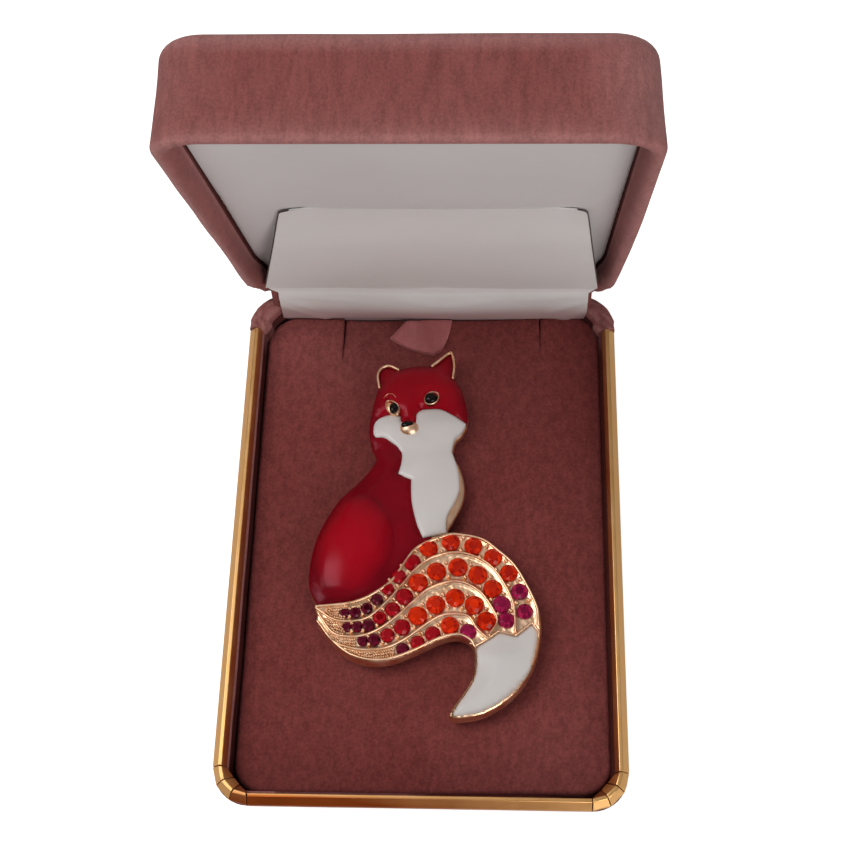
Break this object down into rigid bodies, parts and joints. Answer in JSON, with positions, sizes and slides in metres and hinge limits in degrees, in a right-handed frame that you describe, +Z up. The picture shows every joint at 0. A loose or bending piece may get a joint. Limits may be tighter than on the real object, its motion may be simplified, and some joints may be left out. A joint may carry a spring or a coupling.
{
  "type": "fox brooch in hinged presentation box",
  "caption": "Seated fox brooch in enamel and stones, lying on the pad of an open velvet presentation box with a hinged lid.",
  "frame": {"origin": "middle of the underside of the box", "axes": "front of the box towards -Y, its width along X, +Z up; the lid is hinged along X at the back and stands open 70 degrees"},
  "size_m": [0.066, 0.106, 0.1045],
  "materials": {
    "box_velvet": "short pile velvet",
    "band_gold": "polished gold plate",
    "pad_velvet": "dark velvet",
    "tab_ribbon": "satin ribbon",
    "satin": "satin",
    "hinge_brass": "plain",
    "brooch_gold": "polished rose gold plate",
    "red_enamel": "gloss enamel",
    "white_enamel": "gloss enamel",
    "black_enamel": "gloss enamel",
    "stone_garnet": "cut glass",
    "stone_red": "cut glass",
    "stone_orange": "cut glass",
    "stone_purple": "cut glass"
  },
  "bodies": {
    "base": {"base_shell": "box_velvet", "rim_band": "band_gold", "pad": "pad_velvet", "pull_tab": "tab_ribbon", "strip": "satin", "hinge_base": "hinge_brass", "casting": "brooch_gold", "red_enamel": "red_enamel", "white_enamel": "white_enamel", "tail_tip": "white_enamel", "left_pupil": "black_enamel", "right_pupil": "black_enamel", "nose_tip": "black_enamel", "pin_back": "brooch_gold", "row1_stone01": "stone_garnet", "row1_stone02": "stone_garnet", "row1_stone03": "stone_garnet", "row1_stone04": "stone_garnet", "row1_stone05": "stone_red", "row1_stone06": "stone_red", "row1_stone07": "stone_red", "row1_stone08": "stone_orange", "row1_stone09": "stone_orange", "row1_stone10": "stone_orange", "row1_stone11": "stone_orange", "row1_stone12": "stone_orange", "row1_stone13": "stone_purple", "row1_stone14": "stone_purple", "row2_stone01": "stone_garnet", "row2_stone02": "stone_garnet", "row2_stone03": "stone_garnet", "row2_stone04": "stone_red", "row2_stone05": "stone_red", "row2_stone06": "stone_red", "row2_stone07": "stone_orange", "row2_stone08": "stone_orange", "row2_stone09": "stone_orange", "row2_stone10": "stone_orange", "row2_stone11": "stone_orange", "row2_stone12": "stone_purple", "row2_stone13": "stone_purple", "row3_stone01": "stone_garnet", "row3_stone02": "stone_garnet", "row3_stone03": "stone_red", "row3_stone04": "stone_red", "row3_stone05": "stone_orange", "row3_stone06": "stone_orange", "row3_stone07": "stone_orange", "row3_stone08": "stone_orange", "row3_stone09": "stone_orange", "row4_stone01": "stone_garnet", "row4_stone02": "stone_red", "row4_stone03": "stone_red", "row4_stone04": "stone_orange", "row4_stone05": "stone_purple"},
    "lid": {"lid_shell": "box_velvet", "lid_lining": "satin", "flap": "satin", "hinge_lid": "hinge_brass"}
  },
  "joints": [
    {"name": "lid_hinge", "type": "hinge", "parent": "base", "child": "lid", "pos_m": [0, 0.0465, 0.0136], "axis": [1, 0, 0], "range_deg": [0, 70]}
  ]
}
